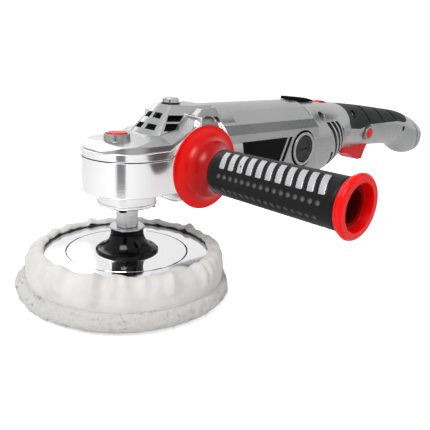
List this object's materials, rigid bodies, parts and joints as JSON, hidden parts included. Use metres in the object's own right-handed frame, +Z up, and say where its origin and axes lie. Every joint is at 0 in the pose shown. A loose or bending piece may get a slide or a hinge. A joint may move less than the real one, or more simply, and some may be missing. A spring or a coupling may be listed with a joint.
{
  "type": "rotary polisher",
  "caption": "Electric rotary polisher with an in-line rear handle, a side handle, a vented gear head and a fleece bonnet on a backing plate.",
  "frame": {"origin": "centre of the bonnet's flat working face", "axes": "+Z up along the spindle, +X towards the rear handle, the side handle points along -Y"},
  "size_m": [0.5953, 0.2871, 0.1633],
  "materials": {
    "fleece": "deep soft pile",
    "bonnet_fabric": "plain woven, gathered",
    "foam": "open cell foam",
    "plate_metal": "polished",
    "hub_black": "high gloss",
    "steel": "turned",
    "gear_steel": "ground",
    "case_alloy": "satin, cast",
    "black_screws": "blackened",
    "grey_plastic": "satin silver grey",
    "gasket": "matt",
    "brass": "drawn",
    "red_plastic": "semi gloss",
    "dark_washer": "blackened",
    "lamination": "stacked sheet",
    "copper": "enamelled wire",
    "black_plastic": "fine texture",
    "carbon": "graphite",
    "gloss_black": "gloss",
    "grip_rubber": "soft, fine texture",
    "handle_red": "semi gloss"
  },
  "bodies": {
    "housing": {"lower_bearing_outer": "gear_steel", "bearing_retainer": "case_alloy", "retainer_screws": "black_screws", "hood": "grey_plastic", "gear_case": "case_alloy", "case_gasket": "gasket", "case_cover": "case_alloy", "upper_bush": "brass", "spindle_lock_spring": "gear_steel", "top_plug": "steel", "plug_washer": "dark_washer", "hood_screws": "steel", "motor_housing": "grey_plastic", "stator_core": "lamination", "field_coils": "copper", "armature_bearings_outer": "gear_steel", "brush_holders": "brass", "carbon_brushes": "carbon", "brush_springs": "gear_steel", "brush_caps": "black_plastic", "side_panels": "gloss_black", "handle_shell_left": "grey_plastic", "handle_shell_right": "grey_plastic", "handle_rubber": "grip_rubber", "tail_cap": "grey_plastic", "tail_seal": "black_plastic", "cable_gland": "black_plastic", "cord_clamp": "black_plastic", "handle_screws": "black_screws", "top_strip": "gloss_black", "trigger_pin": "gear_steel", "switch_body": "black_plastic", "trigger_spring": "gear_steel", "lock_on_collar": "grey_plastic", "speed_control": "black_plastic", "side_handle_core": "handle_red", "side_handle_sleeve": "grip_rubber", "side_handle_end": "handle_red", "side_handle_stud": "gear_steel"},
    "spindle": {"bonnet": "fleece", "foam_pad": "foam", "backing_plate": "plate_metal", "plate_hub": "hub_black", "lip_washer": "steel", "spindle": "steel", "crown_gear": "gear_steel", "lower_bearing_inner": "gear_steel", "lower_bearing_balls": "gear_steel"},
    "armature": {"armature_shaft": "gear_steel", "armature_core": "lamination", "armature_windings": "copper", "commutator": "copper", "cooling_fan": "black_plastic", "pinion": "gear_steel", "armature_bearings_inner": "gear_steel"},
    "spindle_lock": {"spindle_lock_button": "red_plastic", "spindle_lock_pin": "gear_steel"},
    "trigger": {"trigger": "red_plastic"},
    "lock_on": {"lock_on_button": "red_plastic"},
    "speed_dial": {"speed_dial": "red_plastic"}
  },
  "joints": [
    {"name": "spindle_spin", "type": "hinge", "parent": "housing", "child": "spindle", "pos_m": [0, 0, 0.06], "axis": [0, 0, 1], "continuous": true},
    {"name": "armature_spin", "type": "hinge", "parent": "housing", "child": "armature", "pos_m": [0.1, 0, 0.1138], "axis": [1, 0, 0], "continuous": true},
    {"name": "spindle_lock_press", "type": "slide", "parent": "housing", "child": "spindle_lock", "axis": [0, 0, -1], "range_m": [0, 0.004], "stiffness_N_per_m": 900, "springref_m": -0.001, "deforming": ["spindle_lock_spring"]},
    {"name": "trigger_squeeze", "type": "hinge", "parent": "housing", "child": "trigger", "pos_m": [0.31, 0, 0.102], "axis": [0, -1, 0], "range_deg": [0, 8], "stiffness_Nm_per_rad": 2, "springref_deg": -11.46, "deforming": ["trigger_spring"]},
    {"name": "lock_on_press", "type": "slide", "parent": "housing", "child": "lock_on", "axis": [0, 1, 0], "range_m": [0, 0.0022], "stiffness_N_per_m": 700, "springref_m": -0.001},
    {"name": "speed_dial_turn", "type": "hinge", "parent": "housing", "child": "speed_dial", "pos_m": [0.26, 0, 0.1382], "axis": [0, 1, 0], "range_deg": [-130, 130]}
  ],
  "couplings": [
    {"joint": "armature_spin", "follows": "spindle_spin", "ratio": 4}
  ]
}
